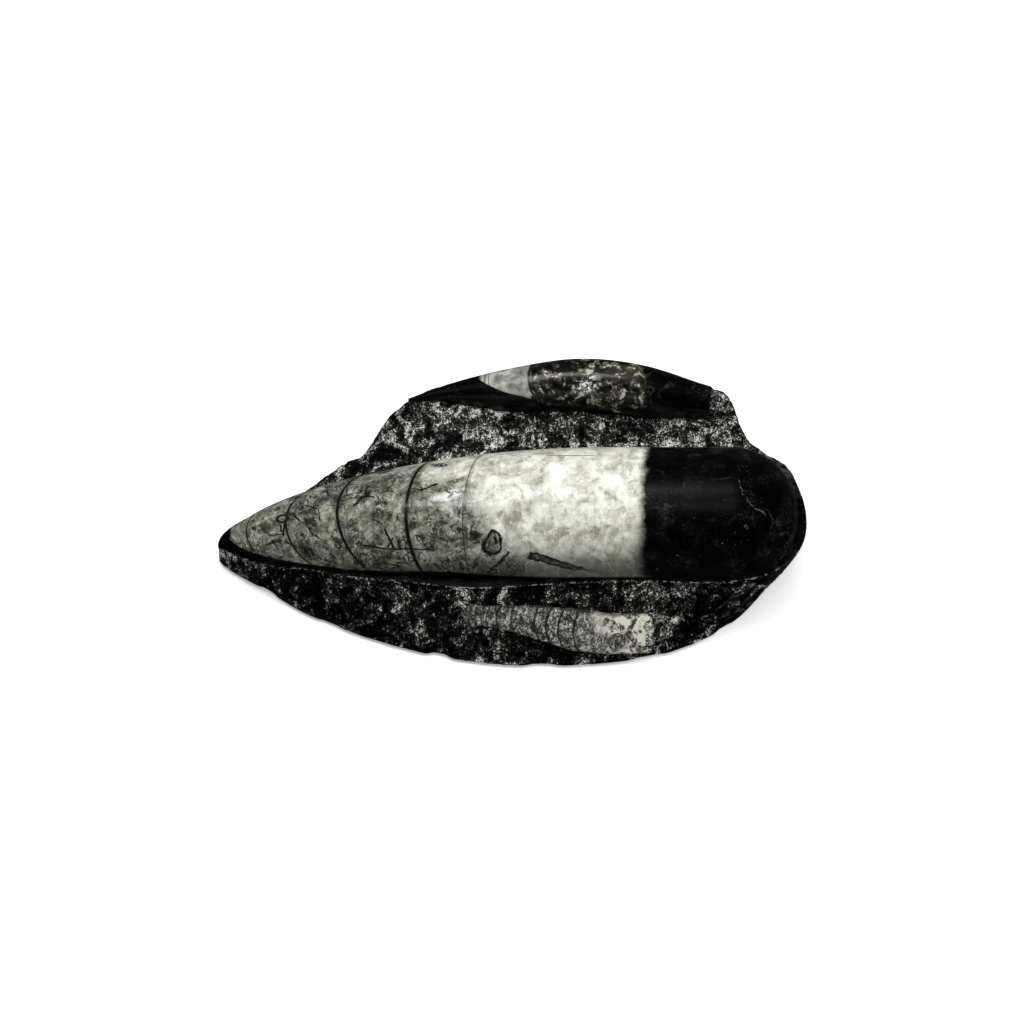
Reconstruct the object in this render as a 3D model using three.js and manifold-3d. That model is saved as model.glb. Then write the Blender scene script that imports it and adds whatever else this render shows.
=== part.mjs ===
// Orthoceras stone: one freeform piece of black fossil limestone, sawn flat underneath and carved on top.
// A large polished orthocone lies along the front, a smaller one lies behind it across a chiselled channel,
// and a third, left rough, shows in the sloping front face.
// Millimetres. +X runs from the tips of the cones to their open ends, +Y to the back and +Z up.
// The origin is on the face that the stone rests on, under the middle of the stone.

import * as THREE from "three";
import { mergeVertices } from "three/addons/utils/BufferGeometryUtils.js";
import Module from "manifold-3d";

// ---- Driving dimensions ----

const STONE_LEFT = -79.7;
const STONE_RIGHT = 79.3;

// The large orthocone: its axis runs straight along the stone and sinks towards the tip.
const MAIN = {
  tip: -76.2,
  fullWidth: 23.8,
  shoulder: 58,
  end: 77,
  axisY: -10,
  axisHeight: 20,
  tipHeight: 11,
  radius: 19.3,
};
const FLANK_POWER = 0.58; // how bluntly the cone opens out from its tip
const SINK_POWER = 1.6; // how its axis sinks towards the tip
const DOME_POWER = 2.2; // how squarely its far end is rounded off
const WALL_SINK = 1.6; // how far the walls of the large cone go below the channel

// The rest of the stone, as points of the lines that bound its faces: [x, y] or [x, y, z].
const FRONT_BASE_EDGE = [
  [STONE_LEFT, -10.3],
  [-76.4, -14.5],
  [-66.9, -20.6],
  [-55.3, -28.4],
  [-43.4, -34],
  [-31.7, -38.3],
  [-18, -42],
  [-5, -44.1],
  [20, -44.3],
  [43.6, -40],
  [59, -31.4],
  [70.7, -17.8],
  [77.2, -6.6],
  [STONE_RIGHT, -2.6],
];
const FRONT_CREASE = [
  [STONE_LEFT, -10.1, 6.5],
  [-77.5, -12.1, 7],
  [-72, -15.6, 8.4],
  [-63.7, -19.5, 10.4],
  [-56.6, -20.9, 12],
  [-41.7, -25.5, 14.9],
  [-30.4, -27.5, 16.4],
  [-11.4, -31, 18.4],
  [8.1, -30.8, 19.8],
  [23.8, -30, 20.2],
  [60.4, -29.8, 20.2],
  [67.5, -27.8, 19.8],
  [72.4, -24.5, 19.2],
  [77, -19.2, 18.7],
  [STONE_RIGHT, -10, 18.3],
];
const LINE_UNDER_AXIS = [
  [STONE_LEFT, -10, 6.8],
  [-77, -10, 8.8],
  [-72, -10, 10.2],
  [-57, -10, 12.6],
  [-42, -10, 15],
  [-25, -10, 17.2],
  [-10, -10, 18.8],
  [5, -10, 19.8],
  [20, -10, 20.2],
  [60, -10, 20.2],
  [STONE_RIGHT, -9.4, 18.5],
];
const CHANNEL_FRONT = [
  [STONE_LEFT, -9.9, 6.8],
  [-76.2, -8, 8.6],
  [-68, -6.5, 9],
  [-57, -2, 9.8],
  [-43, 1.5, 11.3],
  [-25, 3.5, 13],
  [0, 5, 13.8],
  [45, 5, 13.6],
  [60, 5, 14.4],
  [70, 3, 17.6],
  [76, -2, 18.3],
  [STONE_RIGHT, -9.1, 18.4],
];
const BACK_TOP_EDGE = [
  [STONE_LEFT, -9.8, 6.6],
  [-78.2, -6.6, 7.6],
  [-71.3, -2.2, 8.9],
  [-60, 2, 9.5],
  [-54.5, 7.6, 10],
  [-46.9, 13.3, 11],
  [-40.1, 17.3, 12],
  [-37.9, 21.1, 12],
  [-35.8, 25.6, 12.3],
  [-28.7, 33, 14],
  [-20, 37, 14.8],
  [-5, 40.5, 15.5],
  [20, 43, 15.5],
  [37.7, 41, 15.3],
  [51, 36.5, 14.5],
  [61.2, 30.6, 14.2],
  [63, 23.6, 14.2],
  [67.8, 15.2, 16],
  [71, 11.6, 17.6],
  [75.4, 7, 18.3],
  [77.6, 1, 18.3],
  [STONE_RIGHT, -8.6, 18.2],
];
const BACK_BASE_EDGE = [
  [STONE_LEFT, -8.6],
  [-76, -3],
  [-68, 2],
  [-54.5, 10.5],
  [-46.9, 15.5],
  [-40, 20.5],
  [-37, 27],
  [-28.7, 36],
  [-15, 41.5],
  [5, 43.8],
  [20, 44.3],
  [40, 42.5],
  [51, 38.5],
  [60, 32.5],
  [63, 26],
  [68, 19],
  [76.5, 7],
  [STONE_RIGHT, -0.4],
];
const FRONT_BULGE = 1.2; // how far the rough front face swells out of the flat
const BASE_CHAMFER = 1;

// The smaller orthocone behind the channel, and its walls' depth below the axis.
const SECOND_AXIS = [
  [-28.5, 33, 14],
  [-18.7, 34.2, 15.2],
  [-1.9, 34.2, 17],
  [20, 35.6, 17.8],
  [37.7, 33.3, 17.6],
  [51, 31, 17.2],
  [57, 29.8, 16.6],
  [60, 29.2, 16.2],
];
const SECOND_RADIUS = [
  [-28.5, 0.3],
  [-18.7, 2.2],
  [-1.9, 5.6],
  [20, 7],
  [37.7, 6.8],
  [51, 4.6],
  [57, 3.9],
  [60, 3],
];
const SECOND_WALL = 4;

// The rough orthocone, half sunk in the front face: how far up that face its axis lies, from 0 at the base edge
// to 1 at the crease, its half width across the face, and how far it stands out as a share of that.
const SMALL_PLACE = [
  [-13.6, 0.67],
  [-4, 0.65],
  [6, 0.58],
  [16.6, 0.47],
  [26, 0.4],
  [37.5, 0.37],
];
const SMALL_RADIUS = [
  [-13.6, 0.6],
  [-12.4, 2.3],
  [-7, 3.1],
  [-1.9, 3.6],
  [6, 4.9],
  [16.6, 6.2],
  [26, 6.1],
  [37.5, 6],
];
const SMALL_RISE = 0.32;

// How finely the faces are divided.
const STONE_STATIONS = 56;
const MAIN_STATIONS = 44;
const SECOND_STATIONS = 26;
const SMALL_STATIONS = 12;
const ARC_STEPS = 22;
const SMALL_ARC_STEPS = 12;
const FACE_STEPS = 5;

// ---- Curves ----

// A smooth curve through points of [parameter, value], as a function of the parameter.
function curveThrough(points) {
  const slopes = points.slice(1).map(([x, y], i) => (y - points[i][1]) / (x - points[i][0]));
  const tangents = points.map((point, i) => {
    if (i === 0) return slopes[0];
    if (i === points.length - 1) return slopes[i - 1];
    const before = point[0] - points[i - 1][0];
    const after = points[i + 1][0] - point[0];
    return (slopes[i - 1] * after + slopes[i] * before) / (before + after);
  });
  return (x) => {
    let i = 0;
    while (i < points.length - 2 && x > points[i + 1][0]) i += 1;
    const [x0, y0] = points[i];
    const [x1, y1] = points[i + 1];
    const width = x1 - x0;
    const t = THREE.MathUtils.clamp((x - x0) / width, 0, 1);
    const rise = t * t * (3 - 2 * t);
    const leaving = t * (1 - t) * (1 - t) * width * tangents[i];
    const arriving = t * t * (1 - t) * width * tangents[i + 1];
    return y0 + (y1 - y0) * rise + leaving - arriving;
  };
}

// 0 at the stone's left end and 1 at its right end, packed so that an even spread of it is dense at both ends:
// a line drawn smoothly against it rounds the ends off.
function shareAlongStone(x) {
  const middle = (STONE_LEFT + STONE_RIGHT) / 2;
  const half = (STONE_RIGHT - STONE_LEFT) / 2;
  return Math.acos(THREE.MathUtils.clamp((middle - x) / half, -1, 1)) / Math.PI;
}

// A bounding line of the stone, as a function from x to a point of the section: x is its y, and y its height.
function stoneLine(points) {
  const y = curveThrough(points.map((p) => [shareAlongStone(p[0]), p[1]]));
  const z = curveThrough(points.map((p) => [shareAlongStone(p[0]), p[2] ?? 0]));
  return (x) => new THREE.Vector2(y(shareAlongStone(x)), z(shareAlongStone(x)));
}

const frontBase = stoneLine(FRONT_BASE_EDGE);
const frontCrease = stoneLine(FRONT_CREASE);
const underAxis = stoneLine(LINE_UNDER_AXIS);
const channelFront = stoneLine(CHANNEL_FRONT);
const backTop = stoneLine(BACK_TOP_EDGE);
const backBase = stoneLine(BACK_BASE_EDGE);

// Places from one x to another that crowd towards both ends.
function stations(from, to, count) {
  const middle = (from + to) / 2;
  const half = (to - from) / 2;
  return Array.from({ length: count + 1 }, (_, i) => middle - half * Math.cos((Math.PI * i) / count));
}

// ---- Skins ----

// A closed skin over sections of equal length, each a closed loop of points at one x, shut by a fan at each end.
// The loops run from the front over the top to the back.
function loft(places, sections) {
  const across = sections[0].length;
  const positions = [];
  const index = [];
  sections.forEach((section, i) => section.forEach((p) => positions.push(places[i], p.x, p.y)));
  for (let i = 0; i < sections.length - 1; i += 1) {
    for (let j = 0; j < across; j += 1) {
      const next = (j + 1) % across;
      const a = i * across + j;
      const b = i * across + next;
      const c = (i + 1) * across + next;
      const d = (i + 1) * across + j;
      index.push(a, d, b, b, d, c);
    }
  }
  const last = sections.length - 1;
  [0, last].forEach((i) => {
    const middle = new THREE.Vector2();
    sections[i].forEach((p) => middle.addScaledVector(p, 1 / across));
    const hub = positions.length / 3;
    positions.push(places[i], middle.x, middle.y);
    for (let j = 0; j < across; j += 1) {
      const a = i * across + j;
      const b = i * across + ((j + 1) % across);
      if (i === 0) index.push(hub, a, b);
      else index.push(hub, b, a);
    }
  });
  const geometry = new THREE.BufferGeometry();
  geometry.setAttribute("position", new THREE.Float32BufferAttribute(positions, 3));
  geometry.setIndex(index);
  return geometry;
}

// The points from one corner of a section towards the next, without the next, swelling out by the bulge.
function edge(from, to, steps, bulge = 0) {
  const out = new THREE.Vector2(from.y - to.y, to.x - from.x).normalize();
  return Array.from({ length: steps }, (_, i) => {
    const share = i / steps;
    return from.clone().lerp(to, share).addScaledVector(out, bulge * Math.sin(Math.PI * share));
  });
}

// ---- The stone and its cones ----

// The edge round the base is broken by a chamfer, which shrinks to nothing at the stone's two ends.
function baseChamfer(x) {
  return Math.min(BASE_CHAMFER, (backBase(x).x - frontBase(x).x) / 6);
}

// The swell of the front face fades with the chamfer towards the two ends.
function frontBulge(x) {
  return (FRONT_BULGE * baseChamfer(x)) / BASE_CHAMFER;
}

function matrixBlock() {
  const places = stations(STONE_LEFT, STONE_RIGHT, STONE_STATIONS);
  const sections = places.map((x) => {
    const front = frontBase(x);
    const back = backBase(x);
    const chamfer = baseChamfer(x);
    const frontFoot = front.clone().add(new THREE.Vector2(0, chamfer));
    const backFoot = back.clone().add(new THREE.Vector2(0, chamfer));
    front.x += chamfer;
    back.x -= chamfer;
    return [
      ...edge(front, frontFoot, 1),
      ...edge(frontFoot, frontCrease(x), FACE_STEPS, frontBulge(x)),
      ...edge(frontCrease(x), underAxis(x), 2),
      ...edge(underAxis(x), channelFront(x), 2),
      ...edge(channelFront(x), backTop(x), FACE_STEPS),
      ...edge(backTop(x), backFoot, 3),
      ...edge(backFoot, back, 1),
      ...edge(back, front, 2),
    ];
  });
  return loft(places, sections);
}

// An arch from the front wall over the top to the back wall, with the walls' feet at the given depth.
function archSection(centreY, axisHeight, radius, depth) {
  const arch = Array.from({ length: ARC_STEPS + 1 }, (_, i) => {
    const angle = Math.PI * (1 - i / ARC_STEPS);
    return new THREE.Vector2(centreY + radius * Math.cos(angle), axisHeight + radius * Math.sin(angle));
  });
  const backFoot = new THREE.Vector2(centreY + radius, axisHeight - depth);
  const frontFoot = new THREE.Vector2(centreY - radius, axisHeight - depth);
  return [...arch, backFoot, frontFoot];
}

function mainRadius(x) {
  const open = THREE.MathUtils.clamp((x - MAIN.tip) / (MAIN.fullWidth - MAIN.tip), 0, 1);
  const closed = THREE.MathUtils.clamp((x - MAIN.shoulder) / (MAIN.end - MAIN.shoulder), 0, 1);
  const flank = (1 - (1 - open) ** 2) ** FLANK_POWER;
  const dome = Math.sqrt(1 - closed ** DOME_POWER);
  const bluntTip = 0.05;
  return Math.max(bluntTip, MAIN.radius * flank * dome);
}

function mainAxisHeight(x) {
  const open = THREE.MathUtils.clamp((x - MAIN.tip) / (MAIN.fullWidth - MAIN.tip), 0, 1);
  return MAIN.axisHeight - (MAIN.axisHeight - MAIN.tipHeight) * (1 - open) ** SINK_POWER;
}

function mainCone() {
  const places = stations(MAIN.tip, MAIN.end, MAIN_STATIONS);
  const sections = places.map((x) => {
    const depth = mainAxisHeight(x) - channelFront(x).y + WALL_SINK;
    return archSection(MAIN.axisY, mainAxisHeight(x), mainRadius(x), depth);
  });
  return loft(places, sections);
}

function secondCone() {
  const axisY = curveThrough(SECOND_AXIS.map(([x, y]) => [x, y]));
  const axisHeight = curveThrough(SECOND_AXIS.map(([x, , z]) => [x, z]));
  const radius = curveThrough(SECOND_RADIUS);
  const places = stations(SECOND_AXIS[0][0], SECOND_AXIS.at(-1)[0], SECOND_STATIONS);
  return loft(
    places,
    places.map((x) => archSection(axisY(x), axisHeight(x), radius(x), SECOND_WALL)),
  );
}

function smallCone() {
  const place = curveThrough(SMALL_PLACE);
  const radius = curveThrough(SMALL_RADIUS);
  const places = stations(SMALL_PLACE[0][0], SMALL_PLACE.at(-1)[0], SMALL_STATIONS);
  const sections = places.map((x) => {
    const up = frontCrease(x).sub(frontBase(x));
    const bulge = frontBulge(x) * Math.sin(Math.PI * place(x));
    const along = up.clone().normalize();
    const out = new THREE.Vector2(-along.y, along.x);
    const centre = frontBase(x).addScaledVector(up, place(x)).addScaledVector(out, bulge);
    return Array.from({ length: SMALL_ARC_STEPS }, (_, i) => {
      const angle = (2 * Math.PI * i) / SMALL_ARC_STEPS;
      return centre
        .clone()
        .addScaledVector(along, -radius(x) * Math.cos(angle))
        .addScaledVector(out, radius(x) * SMALL_RISE * Math.sin(angle));
    });
  });
  return loft(places, sections);
}

// ---- Joining ----

const wasm = await Module();
wasm.setup();

function solidOf(geometry) {
  const merged = mergeVertices(geometry);
  return new wasm.Manifold(
    new wasm.Mesh({
      numProp: 3,
      vertProperties: merged.getAttribute("position").array,
      triVerts: new Uint32Array(merged.index.array),
    }),
  );
}

function geometryOf(solid) {
  const { vertProperties, triVerts } = solid.getMesh();
  const geometry = new THREE.BufferGeometry();
  geometry.setAttribute("position", new THREE.BufferAttribute(vertProperties, 3));
  geometry.setIndex(new THREE.BufferAttribute(triVerts, 1));
  return geometry;
}

function orthocerasStone() {
  const stone = solidOf(matrixBlock());
  const cones = [mainCone(), secondCone(), smallCone()].map(solidOf);
  const joined = cones.reduce((whole, cone) => whole.add(cone), stone);
  const geometry = geometryOf(joined).toNonIndexed();
  geometry.computeBoundingBox();
  const box = geometry.boundingBox;
  const middle = box.getCenter(new THREE.Vector3());
  geometry.translate(-middle.x, -middle.y, -box.min.z);
  geometry.computeVertexNormals();
  const polishedLimestone = new THREE.MeshStandardMaterial({ color: 0x17181a, roughness: 0.2, metalness: 0 });
  const mesh = new THREE.Mesh(geometry, polishedLimestone);
  mesh.name = "orthoceras_stone";
  return mesh;
}

const part = new THREE.Group();
part.add(orthocerasStone());

export default part;
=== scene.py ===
"""Looks of the orthoceras stone: one block of black fossil limestone with three orthocones in it.

The stone is lofted, roughened and joined in millimetres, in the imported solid's shape, and then moved into its
frame in metres. Its materials are procedural. Each cone's markings are drawn in coordinates of its own, which
the mesh carries: the place along the cone, the angle round it from the front, and its radius there.
"""

import math

import bpy
import numpy as np
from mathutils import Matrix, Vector, noise


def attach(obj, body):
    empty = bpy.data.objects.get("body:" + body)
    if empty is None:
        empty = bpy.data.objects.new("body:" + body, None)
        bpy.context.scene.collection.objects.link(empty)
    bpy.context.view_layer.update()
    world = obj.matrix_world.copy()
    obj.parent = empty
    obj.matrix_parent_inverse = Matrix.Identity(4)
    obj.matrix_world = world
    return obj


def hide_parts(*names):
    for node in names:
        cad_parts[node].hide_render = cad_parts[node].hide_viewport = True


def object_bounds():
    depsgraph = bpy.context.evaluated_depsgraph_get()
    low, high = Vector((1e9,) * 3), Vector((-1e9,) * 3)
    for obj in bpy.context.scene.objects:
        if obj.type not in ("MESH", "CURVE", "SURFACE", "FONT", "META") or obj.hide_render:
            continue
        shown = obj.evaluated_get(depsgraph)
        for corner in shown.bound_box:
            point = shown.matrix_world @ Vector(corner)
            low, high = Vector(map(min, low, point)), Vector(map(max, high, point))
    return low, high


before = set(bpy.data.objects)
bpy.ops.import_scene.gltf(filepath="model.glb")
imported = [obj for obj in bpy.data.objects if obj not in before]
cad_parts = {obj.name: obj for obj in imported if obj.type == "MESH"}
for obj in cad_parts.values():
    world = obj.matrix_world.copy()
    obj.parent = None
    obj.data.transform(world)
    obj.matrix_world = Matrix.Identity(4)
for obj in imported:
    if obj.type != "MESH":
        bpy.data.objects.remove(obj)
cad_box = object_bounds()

NODE = "orthoceras_stone"
MM = 0.001

# ---- The stone's shape, in millimetres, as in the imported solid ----

STONE_LEFT, STONE_RIGHT = -79.7, 79.3

MAIN_TIP, MAIN_FULL_WIDTH, MAIN_SHOULDER, MAIN_END = -76.2, 23.8, 58.0, 77.0
MAIN_AXIS_Y, MAIN_AXIS_HEIGHT, MAIN_TIP_HEIGHT = -10.0, 20.0, 11.0
MAIN_RADIUS = 19.3
FLANK_POWER, SINK_POWER, DOME_POWER = 0.58, 1.6, 2.2
WALL_SINK = 1.6

# Points of the lines that bound the stone's faces: x, y and, off the base, the height.
FRONT_BASE_EDGE = [
    (STONE_LEFT, -10.3), (-76.4, -14.5), (-66.9, -20.6), (-55.3, -28.4), (-43.4, -34), (-31.7, -38.3),
    (-18, -42), (-5, -44.1), (20, -44.3), (43.6, -40), (59, -31.4), (70.7, -17.8), (77.2, -6.6),
    (STONE_RIGHT, -2.6),
]
FRONT_CREASE = [
    (STONE_LEFT, -10.1, 6.5), (-77.5, -12.1, 7), (-72, -15.6, 8.4), (-63.7, -19.5, 10.4), (-56.6, -20.9, 12),
    (-41.7, -25.5, 14.9), (-30.4, -27.5, 16.4), (-11.4, -31, 18.4), (8.1, -30.8, 19.8), (23.8, -30, 20.2),
    (60.4, -29.8, 20.2), (67.5, -27.8, 19.8), (72.4, -24.5, 19.2), (77, -19.2, 18.7),
    (STONE_RIGHT, -10, 18.3),
]
LINE_UNDER_AXIS = [
    (STONE_LEFT, -10, 6.8), (-77, -10, 8.8), (-72, -10, 10.2), (-57, -10, 12.6), (-42, -10, 15),
    (-25, -10, 17.2), (-10, -10, 18.8), (5, -10, 19.8), (20, -10, 20.2), (60, -10, 20.2),
    (STONE_RIGHT, -9.4, 18.5),
]
CHANNEL_FRONT = [
    (STONE_LEFT, -9.9, 6.8), (-76.2, -8, 8.6), (-68, -6.5, 9), (-57, -2, 9.8), (-43, 1.5, 11.3),
    (-25, 3.5, 13), (0, 5, 13.8), (45, 5, 13.6), (60, 5, 14.4), (70, 3, 17.6), (76, -2, 18.3),
    (STONE_RIGHT, -9.1, 18.4),
]
BACK_TOP_EDGE = [
    (STONE_LEFT, -9.8, 6.6), (-78.2, -6.6, 7.6), (-71.3, -2.2, 8.9), (-60, 2, 9.5), (-54.5, 7.6, 10),
    (-46.9, 13.3, 11), (-40.1, 17.3, 12), (-37.9, 21.1, 12), (-35.8, 25.6, 12.3), (-28.7, 33, 14),
    (-20, 37, 14.8), (-5, 40.5, 15.5), (20, 43, 15.5), (37.7, 41, 15.3), (51, 36.5, 14.5), (61.2, 30.6, 14.2),
    (63, 23.6, 14.2), (67.8, 15.2, 16), (71, 11.6, 17.6), (75.4, 7, 18.3), (77.6, 1, 18.3),
    (STONE_RIGHT, -8.6, 18.2),
]
BACK_BASE_EDGE = [
    (STONE_LEFT, -8.6), (-76, -3), (-68, 2), (-54.5, 10.5), (-46.9, 15.5), (-40, 20.5), (-37, 27),
    (-28.7, 36), (-15, 41.5), (5, 43.8), (20, 44.3), (40, 42.5), (51, 38.5), (60, 32.5), (63, 26), (68, 19),
    (76.5, 7), (STONE_RIGHT, -0.4),
]
# How far the polish reaches from the large cone's back wall to the top's back edge, as a share of the way.
POLISH_REACH = [(STONE_LEFT, 0.9), (-72, 0.9), (-64, 0.1), (-50, 0.04), (58, 0.04), (66, 0.4), (71, 0.93),
                (STONE_RIGHT, 0.95)]
FRONT_BULGE = 1.2
BASE_CHAMFER = 1.0

SECOND_AXIS = [
    (-28.5, 33, 14), (-18.7, 34.2, 15.2), (-1.9, 34.2, 17), (20, 35.6, 17.8), (37.7, 33.3, 17.6),
    (51, 31, 17.2), (57, 29.8, 16.6), (60, 29.2, 16.2),
]
SECOND_RADIUS = [(-28.5, 0.3), (-18.7, 2.2), (-1.9, 5.6), (20, 7), (37.7, 6.8), (51, 4.6), (57, 3.9), (60, 3)]
SECOND_WALL = 4.0

SMALL_PLACE = [(-13.6, 0.67), (-4, 0.65), (6, 0.58), (16.6, 0.47), (26, 0.4), (37.5, 0.37)]
SMALL_RADIUS = [
    (-13.6, 0.6), (-12.4, 2.3), (-7, 3.1), (-1.9, 3.6), (6, 4.9), (16.6, 6.2), (26, 6.1), (37.5, 6),
]
SMALL_RISE = 0.32

# How finely the skins are divided.
STONE_STATIONS = 455
FRONT_STEPS, LEDGE_STEPS, HIDDEN_STEPS, CHANNEL_STEPS, BACK_STEPS, BASE_STEPS = 50, 8, 4, 80, 26, 10
MAIN_STATIONS, MAIN_ARC_STEPS = 170, 90
SECOND_STATIONS, SECOND_ARC_STEPS = 120, 36
SMALL_STATIONS, SMALL_ARC_STEPS = 100, 56
WALL_STEPS = 4

# The materials' places in the mesh's list.
POLISHED, ROUGH, MAIN, SECOND, SMALL, SAWN = range(6)


def curve_through(points, at):
    """A smooth curve through the points of (parameter, value), at the given parameters."""
    x, y = (np.array(column, float) for column in zip(*points))
    step = np.diff(x)
    slope = np.diff(y) / step
    tangent = np.empty_like(y)
    tangent[0], tangent[-1] = slope[0], slope[-1]
    tangent[1:-1] = (slope[:-1] * step[1:] + slope[1:] * step[:-1]) / (step[:-1] + step[1:])
    i = np.clip(np.searchsorted(x, at) - 1, 0, len(x) - 2)
    t = np.clip((at - x[i]) / step[i], 0, 1)
    rise = t * t * (3 - 2 * t)
    leaving = t * (1 - t) ** 2 * step[i] * tangent[i]
    arriving = t * t * (1 - t) * step[i] * tangent[i + 1]
    return y[i] + (y[i + 1] - y[i]) * rise + leaving - arriving


def share_along_stone(x):
    """0 at the stone's left end and 1 at its right, dense at both, so that lines on it end round."""
    middle, half = (STONE_LEFT + STONE_RIGHT) / 2, (STONE_RIGHT - STONE_LEFT) / 2
    return np.arccos(np.clip((middle - x) / half, -1, 1)) / np.pi


def stone_line(points, x):
    """The (y, height) of a bounding line at each x."""
    at = share_along_stone(x)
    places = share_along_stone(np.array([p[0] for p in points], float))
    y = curve_through(list(zip(places, (p[1] for p in points))), at)
    height = curve_through(list(zip(places, (p[2] if len(p) > 2 else 0 for p in points))), at)
    return np.stack([y, height], axis=-1)


def stations(start, end, count):
    """Places from start to end that crowd towards both ends."""
    return (start + end) / 2 - (end - start) / 2 * np.cos(np.linspace(0, np.pi, count + 1))


def smooth_step(value, low, high):
    t = np.clip((value - low) / (high - low), 0, 1)
    return t * t * (3 - 2 * t)


def main_radius(x):
    opened = np.clip((x - MAIN_TIP) / (MAIN_FULL_WIDTH - MAIN_TIP), 0, 1)
    closed = np.clip((x - MAIN_SHOULDER) / (MAIN_END - MAIN_SHOULDER), 0, 1)
    flank = (1 - (1 - opened) ** 2) ** FLANK_POWER
    return np.maximum(0.05, MAIN_RADIUS * flank * np.sqrt(1 - closed**DOME_POWER))


def main_axis_height(x):
    opened = np.clip((x - MAIN_TIP) / (MAIN_FULL_WIDTH - MAIN_TIP), 0, 1)
    return MAIN_AXIS_HEIGHT - (MAIN_AXIS_HEIGHT - MAIN_TIP_HEIGHT) * (1 - opened) ** SINK_POWER


def base_chamfer(x):
    width = stone_line(BACK_BASE_EDGE, x)[:, 0] - stone_line(FRONT_BASE_EDGE, x)[:, 0]
    return np.minimum(BASE_CHAMFER, width / 6)


def second_axis(x):
    y = curve_through([(p[0], p[1]) for p in SECOND_AXIS], x)
    height = curve_through([(p[0], p[2]) for p in SECOND_AXIS], x)
    return y, height


# ---- Skins ----

def edge(start, end, steps, bulge=0.0):
    """The points of every section from one corner to the next, without the next: (stations, steps, 2)."""
    share = np.arange(steps) / steps
    along = end - start
    out = np.stack([-along[:, 1], along[:, 0]], axis=-1)
    out /= np.maximum(np.linalg.norm(out, axis=1, keepdims=True), 1e-9)
    swell = np.reshape(bulge, (-1, 1, 1)) * np.sin(np.pi * share)[None, :, None]
    return start[:, None] + along[:, None] * share[None, :, None] + out[:, None] * swell


def skin(x, sections):
    """Grid of points, (stations, points, 3), from the sections' y and height."""
    across = sections.shape[1]
    return np.concatenate([np.repeat(x[:, None, None], across, axis=1), sections], axis=2)


def grid_normals(grid):
    """Outward unit normals of a grid whose columns close on themselves."""
    around = np.roll(grid, -1, axis=1) - np.roll(grid, 1, axis=1)
    along = np.gradient(grid, axis=0)
    normals = np.cross(along, around)
    return normals / np.maximum(np.linalg.norm(normals, axis=2, keepdims=True), 1e-9)


def closed_mesh(name, grid, slots):
    """A closed mesh of a grid of sections, shut by a fan at each end. slots holds each face's material."""
    rows, across = grid.shape[:2]
    i, j = np.meshgrid(np.arange(rows - 1), np.arange(across), indexing="ij")
    following = (j + 1) % across
    corners = [i * across + j, (i + 1) * across + j, (i + 1) * across + following, i * across + following]
    quads = np.stack(corners, axis=-1).reshape(-1, 4)
    hubs = [rows * across, rows * across + 1]
    last = (rows - 1) * across
    ring = np.arange(across)
    start = np.stack([np.full(across, hubs[0]), ring, (ring + 1) % across], axis=-1)
    end = np.stack([np.full(across, hubs[1]), last + (ring + 1) % across, last + ring], axis=-1)
    points = np.concatenate([grid.reshape(-1, 3), [grid[0].mean(axis=0)], [grid[-1].mean(axis=0)]])
    mesh = bpy.data.meshes.new(name)
    mesh.from_pydata(points.tolist(), [], quads.tolist() + start.tolist() + end.tolist())
    fans = np.concatenate([slots[0], slots[-1]])
    fans[fans == SAWN] = ROUGH
    mesh.polygons.foreach_set("material_index", np.concatenate([slots.ravel(), fans]).astype(np.int32))
    piece = bpy.data.objects.new(name, mesh)
    bpy.context.scene.collection.objects.link(piece)
    return piece


# ---- The chiselled surface ----

# Bites out of the foot of the front face: place, depth and half width.
NOTCHES = [(-19.5, 1, 2.6), (8, 0.8, 4), (-49, 0.5, 3), (36.5, 0.5, 4), (-66, 0.6, 2.2), (57, 0.5, 2)]
# Where the polish of the large cone's end starts to come down over the front face, how fast and how far.
POLISH_FROM, POLISH_HEIGHT, POLISH_DROP, POLISH_FLOOR = 63, 20.3, 1.35, 10.5


def wave(place, size, seed):
    """Smooth noise from -1 to 1 with features of the given size, or sizes along x, y and z."""
    sizes = np.broadcast_to(np.array(size, float), 3)
    scaled = place / sizes + seed * 17.3
    return np.array([noise.noise(Vector(p)) for p in scaled])


def pits(place, size, seed):
    """0 on the flat and 1 in the middle of round pits."""
    scaled = place / size + seed * 11.7
    nearest = np.array([noise.voronoi(Vector(p))[0][0] for p in scaled])
    return np.clip(1 - nearest / 0.45, 0, 1)


def chiselled(place, strength):
    """How far the rough faces stand out at each place: mostly inwards."""
    lumps = 0.55 * wave(place, 8, 1) + 0.34 * wave(place, 3.2, 2) + 0.26 * wave(place, 1.5, 3)
    grain = 0.16 * wave(place, 0.75, 4)
    holes = 0.45 * pits(place, 2.3, 5)
    return np.minimum(lumps + grain - holes - 0.3, 0.12) * strength


def gouges(place):
    """Grooves that run up the front face."""
    ridged = np.abs(wave(place, (2.1, 30, 30), 6))
    return -0.5 * np.clip(1 - ridged / 0.22, 0, 1) * smooth_step(wave(place, (7, 9, 9), 7), -0.1, 0.5)


def bitten_foot(x):
    """How far the foot of the front face is bitten back at each x."""
    return sum(depth * np.exp(-(((x - at) / width) ** 4)) for at, depth, width in NOTCHES)


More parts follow.
